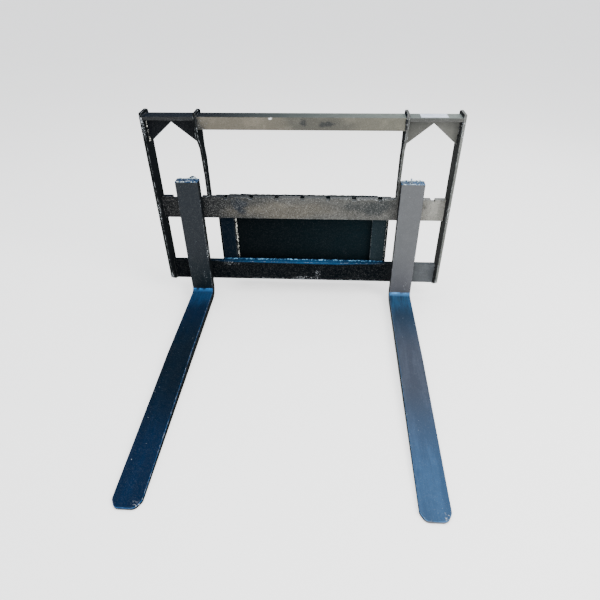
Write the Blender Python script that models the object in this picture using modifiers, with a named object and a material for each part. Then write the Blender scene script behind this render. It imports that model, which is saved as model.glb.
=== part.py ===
"""Pallet fork attachment for a compact loader.

A welded frame carries two hook-on forks.  The frame is two flat carriage rails
between two outer posts, two inner posts, a guard across the top and a
quick-attach plate at the back.  Each fork hangs from the notched upper rail by
an upper hook, is kept in by a lower hook, and has a spring-loaded lock pin that
drops into the rail's notches.

Fork tips point to -Y, +Z is up, X = 0 is the middle.  The dimensions below count Y
from the front face of the rails and Z from the floor; the frame_origin empty then
carries everything to the middle of its footprint.  Metres.
"""

import math

import bmesh
import bpy
from mathutils import Matrix, Vector

# ---------------------------------------------------------------- dimensions
GAP = 0.0003                # air left between welded pieces
SLIDE_GAP = 0.0005          # running clearance between fork and rails

# carriage rails
NOTCH_PITCH = 0.1016        # 4 in
NOTCHES_EACH_SIDE = 5
NOTCH_WIDTH = 0.0165
NOTCH_DEPTH = 0.009
RAIL_THICKNESS = 0.022
RAIL_HEIGHT = 0.0889        # 3 1/2 in
FRAME_HEIGHT = 0.380
FLOOR_CLEARANCE = 0.0795
RAIL_TOP = FLOOR_CLEARANCE + FRAME_HEIGHT

# posts
FRAME_HALF_WIDTH = 0.568
POST_THICKNESS = 0.0095     # 3/8 in
POST_FRONT = -0.047
POST_BACK = 0.034
POST_TOP = 0.790
OUTER_POST_X = FRAME_HALF_WIDTH - POST_THICKNESS / 2
INNER_POST_X = 0.3715
INNER_POST_FOOT_FRONT = 0.002
INNER_POST_FOOT_BACK = 0.0455
INNER_POST_TAIL = 0.070     # how far the foot reaches down behind the upper rail

# guard across the top
GUARD_TOP = RAIL_TOP + 0.319
GUARD_DEPTH = 0.0564
GUARD_CENTRE_HEIGHT = 0.0444
GUARD_CENTRE_WALL = 0.005
GUARD_BAY_THICKNESS = 0.0127
GUSSET_THICKNESS = 0.008
GUSSET_FRONT = -0.010
GUSSET_DROP = 0.090
GUSSET_MIDDLE_DROP = 0.015
LABEL_SIZE = (0.094, 0.046, 0.0008)
LABEL_X = 0.462

# quick-attach plate
PLATE_FRONT = 0.0466
PLATE_THICKNESS = 0.008
PLATE_BOTTOM = 0.092
PLATE_TOP = 0.448
PLATE_HALF_WIDTH = 0.352
UPRIGHT_WIDTH = 0.057
UPRIGHT_X = 0.3115
UPRIGHT_BOTTOM = 0.112
UPRIGHT_TOP = 0.416
HOOK_LIP_HALF_WIDTH = 0.300
FLANGE_HALF_WIDTH = 0.300
FLANGE_SLOT_X = 0.205
FLANGE_SLOT_SIZE = (0.044, 0.026)
FLANGE_REACH = 0.058
OVERALL_BACK = PLATE_FRONT + PLATE_THICKNESS + GAP + FLANGE_REACH

# forks
FORK_WIDTH = 0.0889         # 3 1/2 in
FORK_THICKNESS = 0.035
FORK_LENGTH = 1.0668        # 42 in, back of the shank to the tip
FORK_HEIGHT = 0.536
FORK_BACK = -SLIDE_GAP
FORK_TIP_THICKNESS = 0.010
FORK_TAPER_START = 0.450
FORK_HEEL_RADIUS = 0.045
FORK_BEND_RADIUS = 0.018
FORK_TIP_CORNER = (0.015, 0.026)    # across and along the blade
FORK_TIP_ROUNDING = 0.020
LEFT_FORK_X = -0.4405
RIGHT_FORK_X = 0.4195

# hooks on the back of each fork
HOOK_BACK = 0.0445
HOOK_THROAT_BACK = RAIL_THICKNESS + 0.0025
HOOK_WIDTH = 0.058
HOOK_TONGUE = 0.034
HOOK_TOP_FRONT = 0.520
HOOK_TOP_BACK = 0.488
LOWER_HOOK_WIDTH = 0.070
LOWER_HOOK_BOTTOM = 0.046
LOWER_HOOK_LIP_TOP = 0.103

# lock pin in the upper hook
PIN_Y = RAIL_THICKNESS / 2
PIN_RADIUS = 0.0060
PIN_LIFT = 0.0075
PIN_BORE_CLEARANCE = 0.0003
COLLAR_RADIUS = 0.0085
COLLAR_THICKNESS = 0.004
SPRING_BORE_RADIUS = 0.0095
SPRING_BORE_FLOOR = RAIL_TOP + 0.019
CAP_BOTTOM = RAIL_TOP + 0.0405
CAP_THICKNESS = 0.006
STEM_RADIUS = 0.0040
STEM_TOP = RAIL_TOP + 0.057
SPRING_WIRE_RADIUS = 0.0009
SPRING_RADIUS = 0.0070
SPRING_TURNS = 4
TAB_REACH = (-0.009, 0.0285)
TAB_PEAK = (0.011, 0.021)
TAB_HEIGHT = 0.017
TAB_THICKNESS = 0.005

EDGE_BEVEL = 0.0010

BLACK_PAINT = (0.035, 0.037, 0.040)
FORK_PAINT = (0.045, 0.052, 0.060)
PLATED_STEEL = (0.55, 0.55, 0.53)
LABEL_WHITE = (0.80, 0.81, 0.82)


# ------------------------------------------------------------------- helpers
def clear_scene():
    for obj in list(bpy.data.objects):
        bpy.data.objects.remove(obj, do_unlink=True)


def new_collection(name):
    collection = bpy.data.collections.new(name)
    bpy.context.scene.collection.children.link(collection)
    return collection


def add(collection, name, mesh, location, rotation=(0.0, 0.0, 0.0)):
    """Put a mesh in the scene, hung from the frame_origin empty."""
    obj = bpy.data.objects.new(name, mesh)
    obj.parent = bpy.data.objects["frame_origin"]
    obj.location = location
    obj.rotation_euler = rotation
    collection.objects.link(obj)
    return obj


def paint(obj, colour, roughness, metallic=0.0):
    """Give the object a Principled material of its own."""
    material = bpy.data.materials.new(obj.name + "_finish")
    material.use_nodes = True
    shader = material.node_tree.nodes["Principled BSDF"]
    shader.inputs["Base Color"].default_value = (*colour, 1.0)
    shader.inputs["Roughness"].default_value = roughness
    shader.inputs["Metallic"].default_value = metallic
    obj.data.materials.append(material)
    return obj


def rounded(points, radii, steps=6):
    """Replace each corner that has a radius with an arc of short segments."""
    outline = []
    count = len(points)
    for index, point in enumerate(points):
        radius = radii.get(index, 0.0)
        corner = Vector(point)
        if radius == 0.0:
            outline.append(tuple(corner))
            continue
        to_previous = (Vector(points[index - 1]) - corner).normalized()
        to_next = (Vector(points[(index + 1) % count]) - corner).normalized()
        half_angle = to_previous.angle(to_next) / 2
        setback = radius / math.tan(half_angle)
        start = corner + to_previous * setback
        end = corner + to_next * setback
        middle = (to_previous + to_next).normalized()
        centre = corner + middle * (radius / math.sin(half_angle))
        for step in range(steps + 1):
            spoke = (start - centre).lerp(end - centre, step / steps)
            outline.append(tuple(centre + spoke.normalized() * radius))
    return outline


def prism_mesh(name, outline, depth):
    """Extrude a closed outline in the local XY plane by depth, centred on Z = 0."""
    curve = bpy.data.curves.new(name + "_outline", "CURVE")
    curve.dimensions = "2D"
    curve.fill_mode = "BOTH"
    curve.extrude = depth / 2
    spline = curve.splines.new("POLY")
    spline.points.add(len(outline) - 1)
    for point, (x, y) in zip(spline.points, outline):
        point.co = (x, y, 0.0, 1.0)
    spline.use_cyclic_u = True
    carrier = bpy.data.objects.new(name + "_outline", curve)
    mesh = bpy.data.meshes.new_from_object(carrier)
    bpy.data.objects.remove(carrier, do_unlink=True)
    bpy.data.curves.remove(curve)
    mesh.name = name
    work = bmesh.new()
    work.from_mesh(mesh)
    bmesh.ops.remove_doubles(work, verts=work.verts, dist=0.000001)
    bmesh.ops.dissolve_limit(work, angle_limit=0.0005, verts=work.verts, edges=work.edges)
    bmesh.ops.recalc_face_normals(work, faces=work.faces)
    work.to_mesh(mesh)
    work.free()
    return mesh


def side_plate(collection, name, outline_yz, x_centre, width):
    """A plate whose outline lies in the YZ plane; width runs along X."""
    mesh = prism_mesh(name, outline_yz, width)
    turn = Matrix(((0, 0, 1), (1, 0, 0), (0, 1, 0)))
    return add(collection, name, mesh, (x_centre, 0.0, 0.0), turn.to_euler())


def front_plate(collection, name, outline_xz, y_front, thickness):
    """A plate whose outline lies in the XZ plane; thickness runs along Y."""
    mesh = prism_mesh(name, outline_xz, thickness)
    location = (0.0, y_front + thickness / 2, 0.0)
    return add(collection, name, mesh, location, (math.radians(90), 0.0, 0.0))


def box(collection, name, low, high):
    """A rectangular bar between two opposite corners."""
    mesh = bpy.data.meshes.new(name)
    work = bmesh.new()
    bmesh.ops.create_cube(work, size=1.0)
    size = [b - a for a, b in zip(low, high)]
    bmesh.ops.scale(work, vec=size, verts=work.verts)
    work.to_mesh(mesh)
    work.free()
    return add(collection, name, mesh, [(a + b) / 2 for a, b in zip(low, high)])


def upright_cylinder(collection, name, x, y, bottom, top, radius, sides=40):
    mesh = bpy.data.meshes.new(name)
    work = bmesh.new()
    bmesh.ops.create_cone(work, cap_ends=True, segments=sides, radius1=radius,
                          radius2=radius, depth=top - bottom)
    work.to_mesh(mesh)
    work.free()
    return add(collection, name, mesh, (x, y, (bottom + top) / 2))


def break_edges(obj, width=EDGE_BEVEL):
    """Take the sharp arrises off a bar or plate."""
    bevel = obj.modifiers.new("broken_edges", "BEVEL")
    bevel.width = width
    bevel.segments = 1
    bevel.limit_method = "ANGLE"
    bevel.angle_limit = math.radians(35)
    return obj


def combine(obj, other, operation):
    """Boolean with an exact solver; the other object only shapes this one."""
    modifier = obj.modifiers.new(operation.lower() + "_" + other.name, "BOOLEAN")
    modifier.operation = operation
    modifier.solver = "EXACT"
    modifier.object = other
    other.hide_render = True
    other.display_type = "WIRE"
    return obj


# ----------------------------------------------------------------- the frame
def rail_outline(bottom, top, half_length, notch_positions):
    """Rectangle in XZ with a row of notches cut down from its top edge."""
    outline = [(-half_length, top), (-half_length, bottom),
               (half_length, bottom), (half_length, top)]
    for x in sorted(notch_positions, reverse=True):
        outline.append((x + NOTCH_WIDTH / 2, top))
        outline.append((x + NOTCH_WIDTH / 2 - 0.001, top - NOTCH_DEPTH))
        outline.append((x - NOTCH_WIDTH / 2 + 0.001, top - NOTCH_DEPTH))
        outline.append((x - NOTCH_WIDTH / 2, top))
    return outline


def build_rails(parts):
    half_length = FRAME_HALF_WIDTH - POST_THICKNESS - GAP
    notches = [NOTCH_PITCH * k for k in range(-NOTCHES_EACH_SIDE, NOTCHES_EACH_SIDE + 1)]
    upper = front_plate(parts, "upper_carriage_rail",
                        rail_outline(RAIL_TOP - RAIL_HEIGHT, RAIL_TOP, half_length, notches),
                        0.0, RAIL_THICKNESS)
    paint(break_edges(upper), BLACK_PAINT, 0.42)
    lower = front_plate(parts, "lower_carriage_rail",
                        rail_outline(FLOOR_CLEARANCE, FLOOR_CLEARANCE + RAIL_HEIGHT,
                                     half_length, []),
                        0.0, RAIL_THICKNESS)
    paint(break_edges(lower), BLACK_PAINT, 0.42)


def build_outer_post(parts, side, sign):
    """Flat bar on edge; its lower front corner and upper back corner are cut off."""
    outline = [
        (POST_FRONT, POST_TOP),
        (POST_FRONT, FLOOR_CLEARANCE + 0.030),
        (POST_FRONT + 0.040, FLOOR_CLEARANCE - 0.001),
        (POST_BACK, FLOOR_CLEARANCE - 0.001),
        (POST_BACK, POST_TOP - 0.006),
        (POST_BACK - 0.018, POST_TOP),
    ]
    outline = rounded(outline, {0: 0.003, 4: 0.010, 5: 0.010}, steps=4)
    post = side_plate(parts, "outer_post_" + side, outline, sign * OUTER_POST_X, POST_THICKNESS)
    paint(break_edges(post), BLACK_PAINT, 0.40)


def build_inner_post(parts, side, sign):
    """Profile-cut plate: deep at the guard, drawn back to stand on the upper rail.

    Its foot is behind the fork shanks and its tail goes down behind the rail.
    """
    outline = [
        (POST_FRONT, POST_TOP),
        (POST_FRONT, 0.704),
        (-0.014, 0.655),
        (INNER_POST_FOOT_FRONT, FORK_HEIGHT + 0.010),
        (INNER_POST_FOOT_FRONT, RAIL_TOP + GAP),
        (RAIL_THICKNESS + GAP, RAIL_TOP + GAP),
        (RAIL_THICKNESS + GAP, RAIL_TOP - INNER_POST_TAIL),
        (INNER_POST_FOOT_BACK, RAIL_TOP - INNER_POST_TAIL),
        (INNER_POST_FOOT_BACK, RAIL_TOP + 0.150),
        (POST_BACK, RAIL_TOP + 0.190),
        (POST_BACK, POST_TOP - 0.006),
        (POST_BACK - 0.018, POST_TOP),
    ]
    outline = rounded(outline, {0: 0.003, 10: 0.010, 11: 0.010}, steps=4)
    post = side_plate(parts, "inner_post_" + side, outline, sign * INNER_POST_X, POST_THICKNESS)
    paint(break_edges(post), BLACK_PAINT, 0.40)


def build_guard_centre(parts, cutters):
    """Rectangular tube between the inner posts."""
    half = INNER_POST_X - POST_THICKNESS / 2 - GAP
    low = (-half, POST_FRONT, GUARD_TOP - GUARD_CENTRE_HEIGHT)
    high = (half, POST_FRONT + GUARD_DEPTH, GUARD_TOP)
    tube = box(parts, "guard_rail_centre", low, high)
    wall = GUARD_CENTRE_WALL
    hollow = box(cutters, "guard_tube_hollow",
                 (-half - 0.01, low[1] + wall, low[2] + wall),
                 (half + 0.01, high[1] - wall, high[2] - wall))
    combine(tube, hollow, "DIFFERENCE")
    paint(break_edges(tube), BLACK_PAINT, 0.42)


def build_guard_bay(parts, side, sign):
    """Flat bar between the inner and outer post, with two gussets under it."""
    inner = INNER_POST_X + POST_THICKNESS / 2 + GAP
    outer = FRAME_HALF_WIDTH - POST_THICKNESS - GAP
    xs = sorted((sign * inner, sign * outer))
    bar = box(parts, "guard_rail_" + side,
              (xs[0], POST_FRONT, GUARD_TOP - GUARD_BAY_THICKNESS),
              (xs[1], POST_FRONT + GUARD_DEPTH, GUARD_TOP))
    paint(break_edges(bar), BLACK_PAINT, 0.42)
    top = GUARD_TOP - GUARD_BAY_THICKNESS - GAP
    middle = (inner + outer) / 2
    for place, start, end in (("inner", inner, middle - GAP / 2),
                              ("outer", outer, middle + GAP / 2)):
        outline = [(sign * start, top), (sign * start, top - GUSSET_DROP),
                   (sign * end, top - GUSSET_MIDDLE_DROP), (sign * end, top)]
        gusset = front_plate(parts, "gusset_" + side + "_" + place, outline,
                             GUSSET_FRONT, GUSSET_THICKNESS)
        paint(break_edges(gusset), BLACK_PAINT, 0.40)


def build_label(parts):
    """Blank plate stuck on the right-hand guard bar."""
    length, depth, thickness = LABEL_SIZE
    y_middle = POST_FRONT + GUARD_DEPTH / 2
    label = box(parts, "blank_label",
                (LABEL_X - length / 2, y_middle - depth / 2, GUARD_TOP + 0.0001),
                (LABEL_X + length / 2, y_middle + depth / 2, GUARD_TOP + 0.0001 + thickness))
    paint(label, LABEL_WHITE, 0.35)


def build_quick_attach(parts, cutters):
    """Back plate, the two uprights that carry the rails on it, lip and flange."""
    plate = box(parts, "quick_attach_plate",
                (-PLATE_HALF_WIDTH, PLATE_FRONT, PLATE_BOTTOM),
                (PLATE_HALF_WIDTH, PLATE_FRONT + PLATE_THICKNESS, PLATE_TOP))
    paint(break_edges(plate), BLACK_PAINT, 0.38)

    for side, sign in (("left", -1), ("right", 1)):
        xs = sorted((sign * (UPRIGHT_X - UPRIGHT_WIDTH / 2), sign * (UPRIGHT_X + UPRIGHT_WIDTH / 2)))
        upright = box(parts, "upright_" + side,
                      (xs[0], RAIL_THICKNESS + GAP, UPRIGHT_BOTTOM),
                      (xs[1], PLATE_FRONT - GAP, UPRIGHT_TOP))
        paint(break_edges(upright), BLACK_PAINT, 0.38)

    back = PLATE_FRONT + PLATE_THICKNESS + GAP
    lip_outline = [
        (back, PLATE_TOP),
        (back, PLATE_TOP - 0.028),
        (back + 0.010, PLATE_TOP - 0.018),
        (back + 0.044, PLATE_TOP - 0.052),
        (back + 0.051, PLATE_TOP - 0.045),
        (back + 0.006, PLATE_TOP),
    ]
    lip = side_plate(parts, "quick_attach_hook_lip", lip_outline, 0.0, 2 * HOOK_LIP_HALF_WIDTH)
    paint(break_edges(lip, 0.0007), BLACK_PAINT, 0.40)

    flange_outline = [
        (back, PLATE_BOTTOM),
        (back + FLANGE_REACH, PLATE_BOTTOM - 0.022),
        (back + FLANGE_REACH, PLATE_BOTTOM - 0.012),
        (back, PLATE_BOTTOM + 0.010),
    ]
    flange = side_plate(parts, "quick_attach_pin_flange", flange_outline, 0.0,
                        2 * FLANGE_HALF_WIDTH)
    length, depth = FLANGE_SLOT_SIZE
    for side, sign in (("left", -1), ("right", 1)):
        x = sign * FLANGE_SLOT_X
        slot = box(cutters, "pin_slot_" + side,
                   (x - length / 2, back + 0.018, PLATE_BOTTOM - 0.05),
                   (x + length / 2, back + 0.018 + depth, PLATE_BOTTOM + 0.05))
        combine(flange, slot, "DIFFERENCE")
    paint(flange, BLACK_PAINT, 0.40)


# ----------------------------------------------------------------- the forks
def fork_outline():
    """Side view of one fork: shank, heel and a blade that thins towards the tip.

    It runs a little past the tip, where the plan outline cuts it off.
    """
    front = FORK_BACK - FORK_THICKNESS
    tip = -FORK_LENGTH - 0.005
    points = [
        (FORK_BACK, FORK_HEIGHT),
        (front, FORK_HEIGHT),
        (front, FORK_THICKNESS),
        (-FORK_TAPER_START, FORK_THICKNESS),
        (tip, FORK_TIP_THICKNESS),
        (tip, 0.0),
        (FORK_BACK, 0.0),
    ]
    radii = {2: FORK_BEND_RADIUS, 6: FORK_HEEL_RADIUS}
    return rounded(points, radii, steps=10)


def tip_plan(x):
    """The fork seen from above, with its two tip corners cut and rounded."""
    across, along = FORK_TIP_CORNER
    half = FORK_WIDTH / 2
    tip = -FORK_LENGTH
    points = [
        (x + half, 0.05),
        (x - half, 0.05),
        (x - half, tip + along),
        (x - half + across, tip),
        (x + half - across, tip),
        (x + half, tip + along),
    ]
    return rounded(points, {corner: FORK_TIP_ROUNDING for corner in (2, 3, 4, 5)}, steps=3)


def build_fork(parts, cutters, side, x):
    fork = side_plate(parts, side + "_fork", fork_outline(), x, FORK_WIDTH + 0.02)
    plan = add(cutters, side + "_fork_plan", prism_mesh(side + "_fork_plan", tip_plan(x), 1.2),
               (0.0, 0.0, FORK_HEIGHT / 2))
    combine(fork, plan, "INTERSECT")
    paint(break_edges(fork, 0.0015), FORK_PAINT, 0.40)


def build_upper_hook(parts, cutters, side, x):
    """Saddle over the upper rail, bored for the lock pin and its spring."""
    throat_top = RAIL_TOP + SLIDE_GAP
    front = FORK_BACK + GAP
    tongue_bottom = RAIL_TOP - HOOK_TONGUE
    outline = [
        (front, throat_top),
        (HOOK_THROAT_BACK, throat_top),
        (HOOK_THROAT_BACK, tongue_bottom),
        (HOOK_BACK, tongue_bottom),
        (HOOK_BACK, HOOK_TOP_BACK),
        (front, HOOK_TOP_FRONT),
    ]
    hook = side_plate(parts, side + "_upper_hook", outline, x, HOOK_WIDTH)
    bore = upright_cylinder(cutters, side + "_pin_bore", x, PIN_Y, throat_top - 0.01,
                            FORK_HEIGHT, PIN_RADIUS + PIN_BORE_CLEARANCE)
    pocket = upright_cylinder(cutters, side + "_spring_bore", x, PIN_Y, SPRING_BORE_FLOOR,
                              FORK_HEIGHT + 0.01, SPRING_BORE_RADIUS)
    combine(hook, bore, "DIFFERENCE")
    combine(hook, pocket, "DIFFERENCE")
    paint(hook, FORK_PAINT, 0.42)


def build_lower_hook(parts, side, x):
    """Block under the lower rail with a lip behind it."""
    under = FLOOR_CLEARANCE - SLIDE_GAP * 2
    front = FORK_BACK + GAP
    outline = [
        (front, LOWER_HOOK_BOTTOM),
        (0.030, LOWER_HOOK_BOTTOM),
        (0.042, LOWER_HOOK_BOTTOM + 0.012),
        (0.042, LOWER_HOOK_LIP_TOP),
        (HOOK_THROAT_BACK, LOWER_HOOK_LIP_TOP),
        (HOOK_THROAT_BACK, under),
        (front, under),
    ]
    hook = side_plate(parts, side + "_lower_hook", outline, x, LOWER_HOOK_WIDTH)
    paint(break_edges(hook), FORK_PAINT, 0.42)


def build_lock(parts, cutters, side, x, lift, tab_across):
    """Lock pin with its collar and stem, the spring over it, the bore cap and pull tab.

    A raised pin is held up by turning its tab across the fork; a lowered one has the
    tab lying front to back.
    """
    tip = RAIL_TOP + SLIDE_GAP + lift
    collar_bottom = SPRING_BORE_FLOOR + 0.0005 + lift
    collar_top = collar_bottom + COLLAR_THICKNESS
    stem_top = STEM_TOP + lift

    pin = upright_cylinder(parts, side + "_lock_pin", x, PIN_Y, tip,
                           collar_bottom + 0.001, PIN_RADIUS)
    collar = upright_cylinder(cutters, side + "_pin_collar", x, PIN_Y, collar_bottom,
                              collar_top, COLLAR_RADIUS)
    stem = upright_cylinder(cutters, side + "_pin_stem", x, PIN_Y, collar_top - 0.001,
                            stem_top, STEM_RADIUS)
    combine(pin, collar, "UNION")
    combine(pin, stem, "UNION")
    paint(pin, PLATED_STEEL, 0.30, 1.0)

    cap = upright_cylinder(parts, side + "_spring_cap", x, PIN_Y, CAP_BOTTOM,
                           CAP_BOTTOM + CAP_THICKNESS, SPRING_BORE_RADIUS - GAP)
    hole = upright_cylinder(cutters, side + "_cap_hole", x, PIN_Y, CAP_BOTTOM - 0.01,
                            CAP_BOTTOM + CAP_THICKNESS + 0.01, STEM_RADIUS + GAP)
    combine(cap, hole, "DIFFERENCE")
    paint(cap, PLATED_STEEL, 0.35, 1.0)

    build_spring(parts, side, x, collar_top + GAP, CAP_BOTTOM - GAP)

    start, end = TAB_REACH
    peak_start, peak_end = TAB_PEAK
    base = stem_top + GAP
    centre = x if tab_across else PIN_Y
    outline = [
        (centre + start, base),
        (centre + end, base),
        (centre + end, base + 0.004),
        (centre + peak_end, base + TAB_HEIGHT),
        (centre + peak_start, base + TAB_HEIGHT),
        (centre + start, base + 0.004),
    ]
    name = side + "_pull_tab"
    if tab_across:
        tab = front_plate(parts, name, outline, PIN_Y - TAB_THICKNESS / 2, TAB_THICKNESS)
    else:
        tab = side_plate(parts, name, outline, x, TAB_THICKNESS)
    paint(break_edges(tab, 0.0006), PLATED_STEEL, 0.35, 1.0)


def build_spring(parts, side, x, bottom, top):
    """Round wire wound between the pin's collar and the cap."""
    name = side + "_lock_spring"
    curve = bpy.data.curves.new(name + "_wire", "CURVE")
    curve.dimensions = "3D"
    curve.bevel_depth = SPRING_WIRE_RADIUS
    curve.bevel_resolution = 1
    curve.use_fill_caps = True
    steps = SPRING_TURNS * 20
    low = bottom + SPRING_WIRE_RADIUS
    high = top - SPRING_WIRE_RADIUS
    spline = curve.splines.new("POLY")
    spline.points.add(steps)
    for index, point in enumerate(spline.points):
        share = index / steps
        angle = 2 * math.pi * SPRING_TURNS * share
        point.co = (SPRING_RADIUS * math.cos(angle), SPRING_RADIUS * math.sin(angle),
                    low + (high - low) * share, 1.0)
    carrier = bpy.data.objects.new(name + "_wire", curve)
    mesh = bpy.data.meshes.new_from_object(carrier)
    bpy.data.objects.remove(carrier, do_unlink=True)
    bpy.data.curves.remove(curve)
    work = bmesh.new()
    work.from_mesh(mesh)
    bmesh.ops.remove_doubles(work, verts=work.verts, dist=0.00001)
    bmesh.ops.recalc_face_normals(work, faces=work.faces)
    work.to_mesh(mesh)
    work.free()
    paint(add(parts, name, mesh, (x, PIN_Y, 0.0)), PLATED_STEEL, 0.30, 1.0)


def build_hung_fork(parts, cutters, side, x, lift, tab_across):
    build_fork(parts, cutters, side, x)
    build_upper_hook(parts, cutters, side, x)
    build_lower_hook(parts, side, x)
    build_lock(parts, cutters, side, x, lift, tab_across)


# ------------------------------------------------------------------ assembly
def main():
    clear_scene()
    parts = new_collection("pallet_fork_attachment")
    cutters = new_collection("cutters")
    origin = bpy.data.objects.new("frame_origin", None)
    origin.location = (0.0, (FORK_LENGTH - OVERALL_BACK) / 2, 0.0)
    parts.objects.link(origin)

    build_rails(parts)
    for side, sign in (("left", -1), ("right", 1)):
        build_outer_post(parts, side, sign)
        build_inner_post(parts, side, sign)
        build_guard_bay(parts, side, sign)
    build_guard_centre(parts, cutters)
    build_label(parts)
    build_quick_attach(parts, cutters)

    # the left fork's pin stands raised, the right fork's is down on the rail
    build_hung_fork(parts, cutters, "left", LEFT_FORK_X, PIN_LIFT, True)
    build_hung_fork(parts, cutters, "right", RIGHT_FORK_X, 0.0, False)


main()
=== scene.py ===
"""Looks for the pallet fork attachment: paint, welds, wear, floor, light and camera.

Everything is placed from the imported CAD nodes.  Metres; fork tips point to -Y, +Z is up.
"""

import math

import bpy
from mathutils import Matrix, Vector, noise


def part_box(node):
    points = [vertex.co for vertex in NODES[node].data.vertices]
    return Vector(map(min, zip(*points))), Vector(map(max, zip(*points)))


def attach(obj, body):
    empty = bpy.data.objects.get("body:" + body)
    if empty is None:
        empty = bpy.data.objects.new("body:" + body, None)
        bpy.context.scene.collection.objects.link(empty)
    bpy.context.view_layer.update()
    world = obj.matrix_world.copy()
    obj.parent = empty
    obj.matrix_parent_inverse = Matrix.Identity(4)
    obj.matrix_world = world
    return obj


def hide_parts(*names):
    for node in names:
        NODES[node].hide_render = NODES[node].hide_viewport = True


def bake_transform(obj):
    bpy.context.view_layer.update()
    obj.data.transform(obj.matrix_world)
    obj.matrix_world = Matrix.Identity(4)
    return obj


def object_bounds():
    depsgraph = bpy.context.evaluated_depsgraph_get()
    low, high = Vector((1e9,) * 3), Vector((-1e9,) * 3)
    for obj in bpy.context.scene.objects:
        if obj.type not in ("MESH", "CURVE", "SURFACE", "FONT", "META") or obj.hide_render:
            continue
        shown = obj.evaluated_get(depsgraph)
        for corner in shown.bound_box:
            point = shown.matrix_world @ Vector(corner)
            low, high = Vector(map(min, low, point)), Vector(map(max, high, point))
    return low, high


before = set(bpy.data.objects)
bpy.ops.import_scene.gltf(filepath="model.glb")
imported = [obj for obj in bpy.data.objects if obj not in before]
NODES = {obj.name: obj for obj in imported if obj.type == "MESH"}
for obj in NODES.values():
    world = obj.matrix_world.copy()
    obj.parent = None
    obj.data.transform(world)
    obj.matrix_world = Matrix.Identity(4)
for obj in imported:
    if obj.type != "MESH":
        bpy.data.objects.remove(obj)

CAD_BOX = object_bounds()
FRAME_LEFT = CAD_BOX[0][0]
FRAME_RIGHT = CAD_BOX[1][0]
SIDES = ("left", "right")
OUTWARD = {"left": -1, "right": 1}

# ------------------------------------------------------------------ look values
WORN_STEEL = (0.50, 0.50, 0.49)
CHALKY = (0.62, 0.66, 0.70)
DUST = (0.085, 0.078, 0.066)
PALE_FLOOR = (0.90, 0.90, 0.90)
FLOOR_GLOW = 1.1
FLOOR_REACH = 60.0
FLOOR_DROP = 0.0008

# the X values between which the frame's paint turns from painted shade to painted light, as the light
# falls from +X
LIGHT_SPAN = (FRAME_LEFT + 0.15, FRAME_RIGHT)
# how near an arris the paint is chipped
ARRIS = 0.0022

# what shines in the paint, as (towards -X, towards +X)
HORIZON = ((0.06, 0.05, 0.05), (0.85, 0.90, 0.80))
ZENITH = ((0.00, 0.14, 0.42), (0.30, 0.85, 1.80))
SKY_ACROSS = (-0.40, 0.25)
SKY_RISE = (0.32, 0.55)
HAZE = (0.90, 0.91, 0.93)
BACKDROP = (1.75, 1.75, 1.77)

# angles in degrees, lens in millimetres
CAMERA_PLACE = (0.112, -1.328, 1.262)
CAMERA_DOWN = 36.77
CAMERA_TURN = 3.39
CAMERA_ROLL = -0.65
CAMERA_LENS = 29.55
CAMERA_SHIFT = (-0.0078, 0.0177)

SHARP_EDGE = 28
SPLIT_CORNERS = 0.00002

SPRING_TURNS = 4
SPRING_WIRE = 0.0009
SPRING_STEPS = 36

# weld beads: length of one modelled step and of one ripple, then how far a run wanders
# as a share of its radius
BEAD_STEP = 0.0013
RIPPLE = 0.0042
STEADY = 0.45
LOOSE = 0.5
UNEVEN = 0.6
RAGGED = 0.8
CRUMBLED = 0.9
# noise_vector takes its offsets from the clock unless it is seeded
WANDER_SEED = 5


# ------------------------------------------------------------- node graph helpers
class Graph:
    """A node tree, with one short method for each kind of node."""

    def __init__(self, tree):
        self.tree = tree

    def node(self, kind, **settings):
        made = self.tree.nodes.new(kind)
        for key, value in settings.items():
            setattr(made, key, value)
        return made

    def put(self, socket, value):
        """Link a socket, or set a plain value."""
        if isinstance(value, bpy.types.NodeSocket):
            self.tree.links.new(value, socket)
        elif isinstance(value, tuple) and socket.type == "RGBA":
            socket.default_value = (*value, 1.0)
        else:
            socket.default_value = value

    def maths(self, operation, a, b=0.0, clamp=False):
        made = self.node("ShaderNodeMath", operation=operation, use_clamp=clamp)
        self.put(made.inputs[0], a)
        self.put(made.inputs[1], b)
        return made.outputs[0]

    def product(self, first, *others):
        for other in others:
            first = self.maths("MULTIPLY", first, other)
        return first

    def total(self, first, *others):
        for other in others:
            first = self.maths("ADD", first, other)
        return first

    def rest(self, share):
        """What share leaves of 1."""
        return self.maths("SUBTRACT", 1.0, share)

    def ramp(self, value, start, end):
        """0 below start, 1 above end; start may be the larger one."""
        made = self.node("ShaderNodeMapRange", interpolation_type="SMOOTHSTEP")
        self.put(made.inputs["Value"], value)
        if start > end:
            start, end = end, start
            made.inputs["To Min"].default_value = 1.0
            made.inputs["To Max"].default_value = 0.0
        made.inputs["From Min"].default_value = start
        made.inputs["From Max"].default_value = end
        return made.outputs["Result"]

    def mix(self, share, a, b):
        made = self.node("ShaderNodeMix", data_type="RGBA")
        self.put(made.inputs["Factor"], share)
        self.put(made.inputs["A"], a)
        self.put(made.inputs["B"], b)
        return made.outputs["Result"]

    def split(self, vector):
        """The X, Y and Z outputs of a vector."""
        made = self.node("ShaderNodeSeparateXYZ")
        self.put(made.inputs[0], vector)
        return made.outputs


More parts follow.
